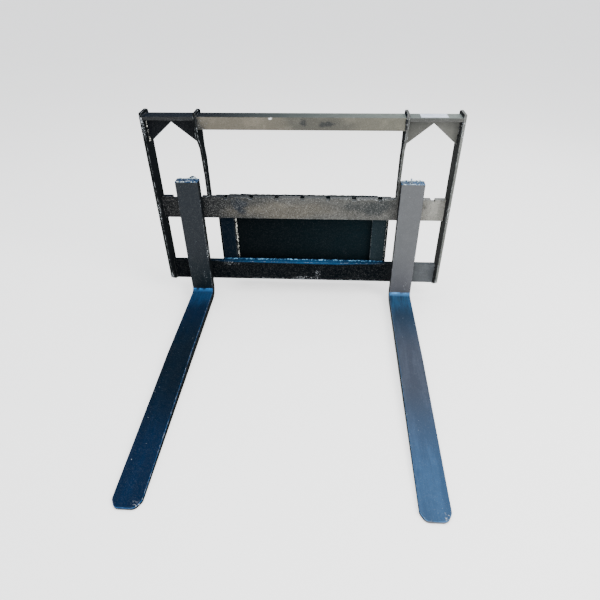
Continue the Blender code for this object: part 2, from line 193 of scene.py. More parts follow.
class Surface(Graph):
    """A material, with the masks and noises that its paint is mixed from."""

    def __init__(self, name):
        self.material = bpy.data.materials.new(name)
        self.material.use_nodes = True
        super().__init__(self.material.node_tree)
        self.shader = self.tree.nodes["Principled BSDF"]
        self.place = self.node("ShaderNodeTexCoord").outputs["Object"]

    def stretched(self, scale, turn=(0.0, 0.0, 0.0)):
        made = self.node("ShaderNodeMapping")
        self.put(made.inputs["Vector"], self.place)
        made.inputs["Scale"].default_value = scale
        made.inputs["Rotation"].default_value = turn
        return made.outputs[0]

    def noise(self, scale, detail=3.0, roughness=0.55, where=None):
        made = self.node("ShaderNodeTexNoise")
        self.put(made.inputs["Vector"], where or self.place)
        made.inputs["Scale"].default_value = scale
        made.inputs["Detail"].default_value = detail
        made.inputs["Roughness"].default_value = roughness
        return made.outputs["Fac"]

    def streaks(self, scale, detail=3.0, roughness=0.6, turn=(0.0, 0.0, 0.0)):
        """Noise drawn out along the axes with the smaller scales."""
        return self.noise(1.0, detail, roughness, self.stretched(scale, turn))

    def axis(self, name):
        return self.split(self.place)[name]

    def true_normal(self):
        return self.node("ShaderNodeNewGeometry").outputs["Normal"]

    def facing(self, name):
        """One component of the true surface normal, in world axes."""
        return self.split(self.true_normal())[name]

    def side_faces(self):
        """1 on faces turned to -X or +X, 0 on the others."""
        return self.ramp(self.maths("ABSOLUTE", self.facing("X")), 0.55, 0.85)

    def patch(self, centre, size):
        """1 inside a ragged ellipsoid round centre, fading to 0 at its surface."""
        ragged = self.node("ShaderNodeTexNoise")
        self.put(ragged.inputs["Vector"], self.place)
        ragged.inputs["Scale"].default_value = 1.4 / max(size)
        ragged.inputs["Detail"].default_value = 4.0
        bend = self.node("ShaderNodeVectorMath", operation="MULTIPLY_ADD")
        self.put(bend.inputs[0], ragged.outputs["Color"])
        bend.inputs[1].default_value = [1.6 * s for s in size]
        bend.inputs[2].default_value = [-c - 0.8 * s for c, s in zip(centre, size)]
        away = self.node("ShaderNodeVectorMath", operation="ADD")
        self.put(away.inputs[0], self.place)
        self.put(away.inputs[1], bend.outputs[0])
        scaled = self.node("ShaderNodeVectorMath", operation="DIVIDE")
        self.put(scaled.inputs[0], away.outputs[0])
        scaled.inputs[1].default_value = size
        length = self.node("ShaderNodeVectorMath", operation="LENGTH")
        self.put(length.inputs[0], scaled.outputs[0])
        return self.ramp(length.outputs["Value"], 1.0, 0.40)

    def edges(self, radius):
        """How strongly the surface turns within radius: 0 on flats, 1 on arrises."""
        soft = self.node("ShaderNodeBevel", samples=6)
        soft.inputs["Radius"].default_value = radius
        dot = self.node("ShaderNodeVectorMath", operation="DOT_PRODUCT")
        self.put(dot.inputs[0], soft.outputs[0])
        self.put(dot.inputs[1], self.true_normal())
        return self.ramp(dot.outputs["Value"], 0.995, 0.90)

    def bumps(self, layers, rounding=0.0015):
        """Chain (height, strength, distance) bumps on top of softened arrises."""
        soft = self.node("ShaderNodeBevel", samples=4)
        soft.inputs["Radius"].default_value = rounding
        normal = soft.outputs[0]
        for height, strength, distance in layers:
            made = self.node("ShaderNodeBump")
            made.inputs["Strength"].default_value = strength
            made.inputs["Distance"].default_value = distance
            self.put(made.inputs["Height"], height)
            self.put(made.inputs["Normal"], normal)
            normal = made.outputs[0]
        self.put(self.shader.inputs["Normal"], normal)

    def finish(self, colour, roughness, metallic=0.0, shine=0.5):
        """shine 0.5 is ordinary glossy paint; less is a duller film, also at grazing angles."""
        self.put(self.shader.inputs["Base Color"], colour)
        self.put(self.shader.inputs["Roughness"], roughness)
        self.put(self.shader.inputs["Metallic"], metallic)
        self.put(self.shader.inputs["IOR"], self.total(1.0, self.product(0.9, shine)))
        return self.material


def dress(obj, material):
    """Give every material slot of the object this material."""
    obj.data.materials.clear()
    obj.data.materials.append(material)


# ------------------------------------------------------------------------ enamel
def rubbed_through(g, scuffs, wear):
    """Where paint is off: fine scratches, chipped arrises and the listed scuffs."""
    along = g.streaks((9.0, 700.0, 900.0), turn=(0.0, 0.07, 0.0))
    across = g.streaks((900.0, 400.0, 16.0), turn=(0.0, -0.5, 0.2))
    lines = g.maths("MAXIMUM", g.ramp(along, 0.70, 0.75), g.ramp(across, 0.71, 0.76))
    where = g.ramp(g.noise(5.0), 0.56, 0.70)
    scratches = g.product(lines, where, wear)
    chipped = g.ramp(g.noise(85.0, 4.0, 0.7), 0.56 - 0.14 * wear, 0.66)
    arrises = g.product(g.edges(ARRIS), chipped, wear)
    bare = g.maths("MAXIMUM", scratches, arrises)
    if scuffs:
        crumbs = g.ramp(g.noise(170.0, 3.0, 0.7), 0.57, 0.62)
        gouge = g.streaks((60.0, 500.0, 420.0), 2.0, 0.5, (0.0, 0.6, 0.3))
        flaked = g.maths("MAXIMUM", crumbs, g.ramp(gouge, 0.66, 0.72))
    for centre, size, strength in scuffs:
        spot = g.product(g.patch(centre, size), strength)
        bare = g.maths("MAXIMUM", bare, g.product(spot, flaked))
    return bare


def seal(g, colour, bare, blotch, gloss, shine, waves):
    """Lay the bare places over the paint, and set its gloss and its waves."""
    colour = g.mix(bare, colour, CHALKY)
    rough = g.total(gloss, g.product(blotch, 0.16))
    rough = g.total(rough, g.product(bare, 0.25))
    g.bumps([*waves, (g.rest(bare), 0.35, 0.0004)])
    return g.finish(colour, rough, shine=shine)


def black_enamel(name, shade, light, span, top=None, gloss=0.34, shine=0.3, wear=0.5,
                 mottle=0.5, grit=0.5, sides=0.3, pools=(), scuffs=()):
    """Sprayed black enamel over bar stock.

    shade and light are the paint's colours at the two X values in span, painted shade and
    painted light: the film is greyer and brighter towards the light.  The colour given for
    upward faces is a painted highlight of the sky; sides is how bright the faces turned to
    either side stay beside it, under their painted shade.  mottle is the strength of the
    film's dark clouds, grit of its fine grain.  The soft (centre, size, colour) clouds in the
    film are painted shade, painted reflections, and some darker patches and smudges.  scuffs
    are (centre, size, strength) places where the paint is rubbed through.
    """
    g = Surface(name)
    # the paint runs from painted shade at the left to painted light at the right
    across = g.ramp(g.axis("X"), *span)
    cloud = g.noise(9.0, 5.0, 0.62)
    blotch = g.noise(38.0, 4.0, 0.62)
    grain = g.noise(330.0, 3.0, 0.6)
    peel = g.noise(230.0, 2.0, 0.45)
    # near black, for the dark clouds and pores and for painted shade on the side faces
    soot_and_shade = (0.004, 0.005, 0.006)

    colour = g.mix(across, shade, light)
    # soft patches of painted shade and painted reflection, and some darker patches and smudges
    for centre, size, tint in pools:
        colour = g.mix(g.patch(centre, size), colour, tint)
    # faces turned to either side are darkened as painted shade
    shaded_sides = g.product(g.side_faces(), 1.0 - sides)
    colour = g.mix(shaded_sides, colour, soot_and_shade)
    # upward faces take a painted highlight of the sky
    if top:
        upward = g.ramp(g.facing("Z"), 0.45, 0.85)
        colour = g.mix(upward, colour, g.mix(across, *top))
    broad = g.ramp(cloud, 0.66, 0.38)
    small = g.product(g.ramp(blotch, 0.66, 0.42), 0.6)
    cloudy = g.maths("ADD", broad, small, clamp=True)
    colour = g.mix(g.product(cloudy, mottle), colour, g.mix(0.75, colour, soot_and_shade))
    speckle = g.product(g.ramp(grain, 0.52, 0.70), 0.7 * grit)
    colour = g.mix(speckle, colour, g.mix(0.30, colour, WORN_STEEL))
    pores = g.product(g.ramp(grain, 0.44, 0.32), 0.9 * grit)
    colour = g.mix(pores, colour, g.mix(0.7, colour, soot_and_shade))

    behind = g.product(g.ramp(g.facing("Y"), 0.30, 0.80), 0.26)
    colour = g.mix(g.product(behind, g.ramp(cloud, 0.25, 0.75)), colour, DUST)

    bare = rubbed_through(g, scuffs, wear)
    waves = [(blotch, 0.25, 0.0014), (peel, 0.35, 0.0005)]
    return seal(g, colour, bare, blotch, gloss, g.product(shine, g.rest(shaded_sides)), waves)


def fork_enamel(name, lit_tones, heel_y, shine, scuffs):
    """Enamel on a forged fork.

    The colours given are those of the shank and its foot, the right fork's in painted sun and
    the left fork's in painted shadow, the glancing painted highlight in the bend, and the
    blade's upper face near the heel, halfway and at the tip, painted blue as a reflection of
    the sky.
    """
    shank, foot, bend, near, middle, far = lit_tones
    g = Surface(name)
    turned = g.facing("Z")
    drift = g.streaks((30.0, 3.5, 30.0), 4.0, turn=(0.0, 0.0, 0.12))
    streak = g.streaks((110.0, 9.0, 14.0), 4.0, turn=(0.0, 0.0, 0.05))
    blotch = g.noise(46.0, 5.0, 0.65)
    peel = g.noise(260.0, 2.0, 0.45)
    grain = g.noise(420.0, 3.0, 0.6)
    # near black, for the dark clouds and for painted shade on the side faces
    soot_and_shade = (0.002, 0.003, 0.004)

    # the blade's upper face from heel to tip, a painted reflection of the sky, with more painted
    # reflection glowing beside the bend
    along = g.axis("Y")
    colour = g.mix(g.ramp(along, heel_y - 0.12, heel_y - 0.42), near, middle)
    colour = g.mix(g.ramp(along, heel_y - 0.55, heel_y - 0.95), colour, far)
    bend_glow_reflection = g.product(g.ramp(along, heel_y - 0.19, heel_y - 0.055), 0.45)
    colour = g.mix(g.product(bend_glow_reflection, g.ramp(streak, 0.30, 0.62)), colour, bend)

    # the shank, then a painted highlight across the bend and its bright painted crest, where the bend
    # turns to face the sky
    upright = g.mix(g.ramp(g.axis("Z"), 0.06, 0.28), foot, shank)
    colour = g.mix(g.ramp(turned, 0.30, 0.95), upright, colour)
    highlight_band = g.product(g.ramp(turned, 0.15, 0.60), g.ramp(turned, 1.0, 0.72))
    colour = g.mix(g.product(highlight_band, g.ramp(blotch, 0.25, 0.50)), colour, bend)
    crest = g.product(g.ramp(turned, 0.20, 0.36), g.ramp(turned, 0.66, 0.46))
    crest = g.product(crest, g.ramp(blotch, 0.42, 0.62))
    colour = g.mix(crest, colour, tuple(min(1.0, 2.4 * c + 0.02) for c in bend))
    # faces turned to either side are darkened as painted shade
    shaded_sides = g.product(g.side_faces(), 0.92)
    colour = g.mix(shaded_sides, colour, soot_and_shade)

    # clouds and streaks, deeper on the blade than on the shank
    small = g.product(g.ramp(blotch, 0.64, 0.40), 0.5)
    cloudy = g.maths("ADD", g.ramp(drift, 0.62, 0.40), small, clamp=True)
    cloudy = g.maths("MAXIMUM", cloudy, g.product(g.ramp(streak, 0.58, 0.40), 0.8))
    depth = g.total(0.18, g.product(g.ramp(turned, 0.30, 0.95), 0.30))
    colour = g.mix(g.product(cloudy, depth), colour, g.mix(0.60, colour, soot_and_shade))
    speckle = g.product(g.ramp(grain, 0.52, 0.70), 0.17)
    colour = g.mix(speckle, colour, g.mix(0.30, colour, WORN_STEEL))

    bare = rubbed_through(g, scuffs, FORK_WEAR)
    flecks = g.product(g.ramp(g.noise(150.0, 2.0, 0.5), 0.76, 0.80), 0.6)
    bare = g.maths("MAXIMUM", bare, flecks)
    waves = [(drift, 0.15, 0.0015), (peel, 0.30, 0.0005)]
    return seal(g, colour, bare, blotch, 0.30, g.product(shine, g.rest(shaded_sides)), waves)


# --------------------------------------------------------------- other materials
def weld_metal(name, body_colour, crest_wear_and_highlight, share):
    """Painted-over weld metal; a share of its crests are pale, partly rubbed light and partly a
    painted highlight.
    """
    g = Surface(name)
    spatter = g.noise(300.0, 4.0, 0.75)
    patchy = g.noise(125.0, 3.0, 0.65)
    crest = g.ramp(patchy, 0.66 - 0.30 * share, 0.70 - 0.30 * share)
    crest = g.product(crest, g.ramp(spatter, 0.44, 0.54))
    colour = g.mix(crest, body_colour, crest_wear_and_highlight)
    g.bumps([(spatter, 0.60, 0.0009)], rounding=0.0004)
    return g.finish(colour, g.total(0.30, g.product(spatter, 0.3)), shine=0.30)


def zinc_plate(name, tone=0.58):
    """Bright zinc, dulled in blotches and finely brushed round."""
    g = Surface(name)
    cloud = g.noise(160.0, 4.0, 0.6)
    brush = g.streaks((300.0, 300.0, 2600.0))
    grey = (tone, tone, tone * 0.97)
    tarnish = (tone * 0.52, tone * 0.50, tone * 0.46)
    colour = g.mix(g.ramp(cloud, 0.40, 0.68), grey, tarnish)
    colour = g.mix(g.product(g.edges(0.0008), 0.5), colour, (0.85, 0.85, 0.84))
    g.bumps([(brush, 0.15, 0.0002), (cloud, 0.10, 0.0004)], rounding=0.0005)
    return g.finish(colour, g.total(0.22, g.product(cloud, 0.3)), metallic=1.0)


def label_film(name):
    """Blank satin film: faint fading, dust in the grain and a dirty rim."""
    g = Surface(name)
    low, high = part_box("blank_label")
    middle = (low + high) / 2
    half = (high - low) / 2
    off_x = g.maths("ABSOLUTE", g.maths("SUBTRACT", g.axis("X"), middle.x))
    off_y = g.maths("ABSOLUTE", g.maths("SUBTRACT", g.axis("Y"), middle.y))
    rim_x = g.ramp(off_x, half.x - 0.004, half.x)
    rim_y = g.ramp(off_y, half.y - 0.003, half.y)
    rim = g.maths("MAXIMUM", rim_x, rim_y)
    fade = g.noise(30.0, 4.0, 0.6)
    colour = g.mix(g.ramp(fade, 0.35, 0.70), (0.62, 0.67, 0.78), (0.45, 0.50, 0.60))
    colour = g.mix(g.product(rim, 0.5), colour, (0.30, 0.31, 0.33))
    g.bumps([(fade, 0.10, 0.0006)], rounding=0.0004)
    return g.finish(colour, g.total(0.28, g.product(fade, 0.2)))


def floor_finish():
    """Matt pale floor that glows, so that it stays evenly lit."""
    g = Surface("pale_floor")
    cloud = g.noise(1.6, 3.0, 0.5)
    colour = g.mix(cloud, PALE_FLOOR, tuple(0.97 * c for c in PALE_FLOOR))
    g.bumps([(g.noise(120.0, 2.0), 0.04, 0.0005)], rounding=0.0)
    g.put(g.shader.inputs["Emission Color"], colour)
    g.put(g.shader.inputs["Emission Strength"], FLOOR_GLOW)
    return g.finish(colour, 0.75, shine=0.2)


# --------------------------------------------------------------- smooth round faces
def smooth_round_faces(obj, group):
    """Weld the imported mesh's split corners and shade round stretches smooth."""
    weld = obj.modifiers.new("weld", "WELD")
    weld.merge_threshold = SPLIT_CORNERS
    obj.modifiers.new("smooth", "NODES").node_group = group


def smooth_group():
    """Geometry nodes that shade faces smooth but keep the sharp edges."""
    tree = bpy.data.node_groups.new("smooth_round_faces", "GeometryNodeTree")
    tree.interface.new_socket("Geometry", in_out="INPUT", socket_type="NodeSocketGeometry")
    tree.interface.new_socket("Geometry", in_out="OUTPUT", socket_type="NodeSocketGeometry")
    start = tree.nodes.new("NodeGroupInput")
    end = tree.nodes.new("NodeGroupOutput")
    faces = tree.nodes.new("GeometryNodeSetShadeSmooth")
    edges = tree.nodes.new("GeometryNodeSetShadeSmooth")
    edges.domain = "EDGE"
    edges.inputs["Shade Smooth"].default_value = False
    angle = tree.nodes.new("GeometryNodeInputMeshEdgeAngle")
    compare = tree.nodes.new("FunctionNodeCompare")
    compare.operation = "GREATER_THAN"
    compare.inputs["B"].default_value = math.radians(SHARP_EDGE)
    tree.links.new(angle.outputs["Unsigned Angle"], compare.inputs["A"])
    tree.links.new(start.outputs[0], faces.inputs["Geometry"])
    tree.links.new(faces.outputs[0], edges.inputs["Geometry"])
    tree.links.new(compare.outputs["Result"], edges.inputs["Selection"])
    tree.links.new(edges.outputs[0], end.inputs[0])
    return tree


# ------------------------------------------------------------------- the frame
def paint(node, shade, light, span=LIGHT_SPAN, **film):
    """Enamel one frame node, lighter towards +X where the light falls."""
    dress(NODES[node], black_enamel(node + "_enamel", shade, light, span, **film))


def middle_height(node):
    low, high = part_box(node)
    return (low.z + high.z) / 2


def dress_guard():
    """The guard tube, in painted shade at its left end and darker across its middle, with two smudges
    and one bright chip, and the two bay bars.
    """
    low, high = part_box("guard_rail_centre")
    middle_z = middle_height("guard_rail_centre")
    # painted highlight of the sky on upward faces, brighter towards +X
    top = ((0.000, 0.000, 0.000), (0.150, 0.168, 0.146))
    smudge = (0.034, 0.036, 0.034)
    # painted shade at the left end, a darker patch across the middle, two smudges and a bright chip
    # by the upper edge
    pools = [
        ((low.x - 0.02, low.y, middle_z), (0.07, 0.04, 0.06), (0.030, 0.029, 0.025)),
        ((0.02, low.y, middle_z), (0.22, 0.03, 0.040), (0.082, 0.080, 0.067)),
        ((0.01, low.y, middle_z + 0.004), (0.016, 0.03, 0.014), smudge),
        ((0.09, low.y, middle_z), (0.034, 0.03, 0.014), smudge),
        ((-0.105, low.y, high.z - 0.004), (0.009, 0.010, 0.005), (0.78, 0.79, 0.79)),
    ]
    chips = ((low.x + 0.01, low.y, middle_z), (0.04, 0.02, 0.04), 0.12)
    paint("guard_rail_centre", (0.125, 0.112, 0.087), (0.122, 0.120, 0.096),
          top=top, pools=pools, scuffs=[chips], mottle=0.40, shine=0.2, wear=0.2)
    for side in SIDES:
        paint("guard_rail_" + side, (0.006, 0.007, 0.008), (0.072, 0.073, 0.068), top=top,
              wear=0.2)
        for place in ("inner", "outer"):
            dress_gusset(f"gusset_{side}_{place}")


def dress_gusset(node):
    """A gusset, with a painted shadow along its joint under the bay bar."""
    low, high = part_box(node)
    # painted shadow under the bay bar, where the gusset is set back
    seam_shadow = (((low.x + high.x) / 2, low.y, high.z), (0.16, 0.03, 0.010), (0.008, 0.010, 0.012))
    paint(node, (0.003, 0.004, 0.006), (0.120, 0.121, 0.110),
          shine=0.12, mottle=0.4, grit=0.3, pools=[seam_shadow])


def dress_upper_rail():
    """The upper rail, gritty, in painted shade on the left and in painted light at its right-hand
    end.
    """
    low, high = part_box("upper_carriage_rail")
    middle_z = middle_height("upper_carriage_rail")
    # a painted reflection left of the middle, two darker patches, and painted sunlight on the
    # right-hand end
    pools = [
        ((-0.05, low.y, middle_z - 0.015), (0.30, 0.03, 0.045), (0.090, 0.083, 0.068)),
        ((-0.25, low.y, middle_z + 0.005), (0.040, 0.03, 0.040), (0.010, 0.014, 0.020)),
        ((0.28, low.y, middle_z + 0.010), (0.120, 0.03, 0.045), (0.032, 0.036, 0.036)),
        ((high.x, low.y, middle_z), (0.16, 0.03, 0.080), (0.300, 0.295, 0.265)),
    ]
    notch_rim = ((0.35, low.y, high.z), (0.25, 0.02, 0.010), 0.5)
    paint("upper_carriage_rail", (0.000, 0.001, 0.002), (0.080, 0.080, 0.074), shine=0.20,
          span=(FRAME_LEFT + 0.12, 0.10), scuffs=[notch_rim], mottle=0.45, grit=1.0, pools=pools)


def dress_lower_rail():
    """The lower rail, black but for its right-hand end in painted light, with a painted blue glint of
    the sky along its ledge.
    """
    low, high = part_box("lower_carriage_rail")
    scuffs = [
        ((0.020, low.y, low.z + 0.010), (0.070, 0.02, 0.012), 0.6),
        ((0.064, low.y, low.z + 0.036), (0.014, 0.02, 0.020), 0.5),
        ((-0.31, low.y, high.z - 0.010), (0.050, 0.02, 0.014), 0.35),
        ((0.00, low.y, low.z + 0.004), (0.400, 0.02, 0.007), 0.5),
        ((0.44, low.y, low.z + 0.010), (0.040, 0.02, 0.015), 0.5),
    ]
    # the blue along the rail's upper face is a painted reflection of the sky
    ledge = ((0.0, low.y, high.z), (0.43, 0.08, 0.010), (0.004, 0.048, 0.125))
    paint("lower_carriage_rail", (0.000, 0.001, 0.002), (0.115, 0.125, 0.135),
          span=(0.33, FRAME_RIGHT), shine=0.05, scuffs=scuffs, pools=[ledge], mottle=0.35,
          grit=0.3)


def dress_posts(side):
    """Outer post, inner post and upright: black on the left, in painted sunlight on the right."""
    left = side == "left"
    # the right-hand posts are painted pale as in sunlight, the left-hand ones stay black
    outer = (0.002, 0.003, 0.003) if left else (0.150, 0.155, 0.145)
    inner = (0.008, 0.009, 0.009) if left else (0.105, 0.108, 0.102)
    grit = 0.10 if left else 0.30
    # how much colour the outer post's side faces keep under their painted shade
    outer_side_light = 0.03 if left else 0.16

    low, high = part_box("outer_post_" + side)
    joint = middle_height("upper_carriage_rail")
    foot = middle_height("lower_carriage_rail") - 0.01
    scuffs = [
        ((low.x, low.y, joint), (0.03, 0.022, 0.060), 1.0),
        ((low.x, low.y, foot), (0.03, 0.022, 0.03), 0.7),
        ((low.x, low.y, high.z - 0.05), (0.03, 0.022, 0.05), 0.8),
    ]
    paint("outer_post_" + side, outer, outer, shine=0.06, scuffs=scuffs, wear=0.9, grit=grit,
          sides=outer_side_light)
    paint("inner_post_" + side, inner, inner, shine=0.06, wear=0.9, grit=grit, sides=0.05)
    paint("upright_" + side, (0.000, 0.003, 0.008), (0.012, 0.021, 0.025), shine=0.04,
          mottle=0.25, grit=0.20)


def dress_plate():
    """The quick-attach plate, rubbed in two places behind, with its lip and flange."""
    low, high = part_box("quick_attach_plate")
    scuffs = [
        ((-0.14, high.y, low.z + 0.09), (0.150, 0.01, 0.040), 0.16),
        ((0.19, high.y, low.z + 0.13), (0.060, 0.01, 0.090), 0.16),
    ]
    paint("quick_attach_plate", (0.0003, 0.0014, 0.0020), (0.003, 0.009, 0.012), shine=0.03,
          wear=0.4, gloss=0.25, mottle=0.30, grit=0.12, scuffs=scuffs)
    for node in ("quick_attach_hook_lip", "quick_attach_pin_flange"):
        paint(node, (0.006, 0.007, 0.008), (0.016, 0.017, 0.018), wear=0.9)


def dress_frame():
    dress_guard()
    dress_upper_rail()
    dress_lower_rail()
    for side in SIDES:
        dress_posts(side)
    dress_plate()
    dress(NODES["blank_label"], label_film("blank_label_film"))


# ------------------------------------------------------------------- the forks
# shank, foot, bend, blade near the heel, halfway and at the tip.  The right fork's colours are in
# painted sun and the left fork's in painted shadow; the bend is a painted highlight and the
# blade's blues are a painted reflection of the sky.
FORK_LIT_TONES = {
    "left": ((0.011, 0.014, 0.018), (0.002, 0.006, 0.009), (0.012, 0.085, 0.230),
             (0.000, 0.009, 0.030), (0.000, 0.005, 0.012), (0.000, 0.011, 0.037)),
    "right": ((0.074, 0.078, 0.084), (0.062, 0.064, 0.074), (0.040, 0.155, 0.340),
              (0.010, 0.028, 0.056), (0.042, 0.050, 0.070), (0.028, 0.070, 0.145)),
}
FORK_SHINE = {"left": 0.18, "right": 0.30}
FORK_WEAR = 0.5
SHANK_THICKNESS = 0.035


def dress_fork(side):
    """A fork, its two hooks in plain black and its lock pin parts in zinc."""
    low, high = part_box(side + "_fork")
    middle = (low.x + high.x) / 2
    front = high.y - SHANK_THICKNESS
    scuffs = [
        ((middle, front, high.z), (0.050, 0.050, 0.006), 0.9),
        ((middle + 0.018, front, 0.105), (0.010, 0.02, 0.045), 0.15),
        ((high.x, front, 0.235), (0.006, 0.03, 0.040), 0.9),
        ((high.x - 0.015, low.y + 0.015, 0.010), (0.014, 0.016, 0.020), 0.5),
    ]
    enamel = fork_enamel(side + "_fork_enamel", FORK_LIT_TONES[side], high.y, FORK_SHINE[side], scuffs)
    dress(NODES[side + "_fork"], enamel)
    dark = (0.010, 0.012, 0.014)
    hook = black_enamel(side + "_hook_enamel", dark, dark, (-1.0, 1.0), wear=0.8)
    dress(NODES[side + "_upper_hook"], hook)
    dress(NODES[side + "_lower_hook"], hook)
    dress(NODES[side + "_lock_pin"], zinc_plate(side + "_pin_zinc"))
    dress(NODES[side + "_pull_tab"], zinc_plate(side + "_tab_zinc", 0.66))
    dress(NODES[side + "_spring_cap"], zinc_plate(side + "_cap_zinc", 0.48))


def tube(name, path, radius, sizes, material):
    """A round wire along path; sizes scale its radius point by point."""
    curve = bpy.data.curves.new(name, "CURVE")
    curve.dimensions = "3D"
    curve.bevel_depth = radius
    curve.bevel_resolution = 2
    curve.use_fill_caps = True
    spline = curve.splines.new("POLY")
    spline.points.add(len(path) - 1)
    for point, place, size in zip(spline.points, path, sizes):
        point.co = (*place, 1.0)
        point.radius = size
    carrier = bpy.data.objects.new(name, curve)
    bpy.context.scene.collection.objects.link(carrier)
    mesh = bpy.data.meshes.new_from_object(carrier)
    bpy.data.objects.remove(carrier)
    bpy.data.curves.remove(curve)
    piece = bpy.data.objects.new(name, mesh)
    bpy.context.scene.collection.objects.link(piece)
    mesh.shade_smooth()
    dress(piece, material)
    return piece


def coil_spring(side):
    """The lock spring as fine round wire."""
    low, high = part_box(side + "_lock_spring")
    middle = (low + high) / 2
    radius = (high.x - low.x) / 2 - SPRING_WIRE
    rise = high.z - low.z - 2 * SPRING_WIRE
    steps = SPRING_TURNS * SPRING_STEPS
    path = []
    for index in range(steps + 1):
        share = index / steps
        angle = 2 * math.pi * SPRING_TURNS * share
        path.append((middle.x + radius * math.cos(angle), middle.y + radius * math.sin(angle),
                     low.z + SPRING_WIRE + rise * share))
    piece = tube(side + "_spring_coil", path, SPRING_WIRE, [1.0] * len(path),
                 zinc_plate(side + "_spring_wire", 0.34))
    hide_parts(side + "_lock_spring")
    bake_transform(piece)


# ------------------------------------------------------------------- weld beads
def bead(name, x, y, z, radius, body, material, wander=STEADY):
    """A rippled weld bead, whose thickness swells at every ripple.

    x, y and z are each one value, or a (start, end) pair along the bead.
    """
    spans = [value if isinstance(value, tuple) else (value, value) for value in (x, y, z)]
    start, end = (Vector(corner) for corner in zip(*spans))
    length = (end - start).length
    steps = max(4, round(length / BEAD_STEP))
    path = []
    sizes = []
    for index in range(steps + 1):
        share = index / steps
        base = start.lerp(end, share)
        shake = noise.noise_vector(base * 120.0 + Vector((len(name), 0.0, 0.0)))
        path.append(base + shake * radius * wander)
        ripple = abs(math.sin(math.pi * share * length / RIPPLE))
        ends = min(1.0, 6.0 * min(share, 1.0 - share) + 0.55)
        lump = noise.noise(base * 70.0) + 0.5 * noise.noise(base * 230.0)
        sizes.append(ends * (0.72 + 0.22 * ripple + 0.42 * lump))
    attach(tube(name, path, radius, sizes, material), body)


def post_faces(node, side):
    """X of the post's face towards the middle of the frame, and of the one away from it."""
    low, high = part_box(node)
    return (high.x, low.x) if side == "left" else (low.x, high.x)


def upright_weld(side, material):
    """An upright on the plate, along its right-hand edge."""
    upright_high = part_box("upright_" + side)[1]
    plate_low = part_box("quick_attach_plate")[0]
    rails = (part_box("lower_carriage_rail")[1].z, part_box("upper_carriage_rail")[0].z)
    bead(f"weld_upright_{side}", upright_high.x + 0.002, plate_low.y - 0.003,
         (rails[0] - 0.01, rails[1] + 0.01), 0.0046, "frame", material, RAGGED)


def rail_end_welds(side, material):
    """Both rails into the outer post: slim in front, where the fork slides past."""
    outward = OUTWARD[side]
    face = post_faces("outer_post_" + side, side)[0]
    for label in ("upper", "lower"):
        low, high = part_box(label + "_carriage_rail")
        for y, place, radius in ((low.y, "front", 0.0022), (high.y + 0.001, "back", 0.0036)):
            bead(f"weld_{label}_rail_{side}_{place}", face - outward * (radius - 0.0020), y,
                 (low.z + 0.003, high.z - 0.003), radius, "frame", material)
        bead(f"weld_{label}_rail_{side}_under", face - outward * 0.002,
             (low.y + 0.003, high.y - 0.003), low.z - 0.001, 0.0032, "frame", material)


def guard_welds(side, painted, light):
    """Guard tube, bay bar and gussets into the posts."""
    low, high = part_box("guard_rail_centre")
    near, far = post_faces("inner_post_" + side, side)
    outer = post_faces("outer_post_" + side, side)[0]
    for y, place in ((low.y - 0.0005, "front"), (high.y + 0.0005, "back")):
        bead(f"weld_guard_centre_{side}_{place}", near, y, (low.z + 0.003, high.z - 0.003),
             0.0042, "frame", painted)
    bead(f"weld_guard_centre_{side}_top", near, (low.y + 0.004, high.y - 0.004),
         high.z + 0.0004, 0.0028, "frame", painted)

    bar_low, bar_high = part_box("guard_rail_" + side)
    for x, place in ((far, "inner"), (outer, "outer")):
        bead(f"weld_bay_{side}_{place}_top", x, (bar_low.y + 0.004, bar_high.y - 0.004),
             bar_high.z + 0.0005, 0.0028, "frame", painted)
        gusset_low, gusset_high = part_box(f"gusset_{side}_{place}")
        bead(f"weld_gusset_{side}_{place}", x, gusset_low.y - 0.001,
             (gusset_low.z + 0.004, gusset_high.z - 0.002), 0.0040, "frame",
             light if (side, place) == ("left", "outer") else painted, RAGGED)


def inner_post_welds(side, material):
    """The inner post's foot on the upper rail and its tail behind, away from the fork."""
    near = post_faces("inner_post_" + side, side)[0]
    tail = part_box("inner_post_" + side)[0].z
    low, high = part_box("upper_carriage_rail")
    bead(f"weld_foot_{side}", near, (low.y + 0.004, high.y), high.z + 0.0005,
         0.0028, "frame", material)
    bead(f"weld_tail_{side}", near, high.y + 0.001, (tail + 0.004, high.z - 0.002),
         0.0028, "frame", material)


def plate_welds(painted, sky_glint):
    """The ledge along the lower rail, and the lip and flange on the plate."""
    ends = (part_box("upright_left")[0].x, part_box("upright_right")[1].x)
    rail_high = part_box("lower_carriage_rail")[1]
    bead("weld_ledge", ends, rail_high.y - 0.002, rail_high.z + 0.0005,
         0.0034, "frame", sky_glint, LOOSE)
    plate_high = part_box("quick_attach_plate")[1]
    low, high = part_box("quick_attach_hook_lip")
    bead("weld_lip_top", (low.x + 0.004, high.x - 0.004), plate_high.y + 0.001, plate_high.z,
         0.0030, "frame", painted)
    low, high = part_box("quick_attach_pin_flange")
    bead("weld_flange_top", (low.x + 0.004, high.x - 0.004), plate_high.y + 0.002, high.z,
         0.0034, "frame", painted)


def frame_welds():
    painted = weld_metal("weld_painted", (0.006, 0.007, 0.008), (0.22, 0.23, 0.24), 0.25)
    # pale crests: painted highlight where the light falls on the beads, and rubbed paint
    light = weld_metal("weld_light", (0.008, 0.009, 0.010), (0.70, 0.70, 0.64), 0.62)
    # blue body and pale blue crests: a painted glint of the sky along the ledge
    sky_glint = weld_metal("weld_sky_glint", (0.002, 0.025, 0.070), (0.22, 0.55, 0.85), 0.50)
    for side in SIDES:
        upright_weld(side, light)
        rail_end_welds(side, painted)
        guard_welds(side, painted, light)
        inner_post_welds(side, painted)
    plate_welds(painted, sky_glint)


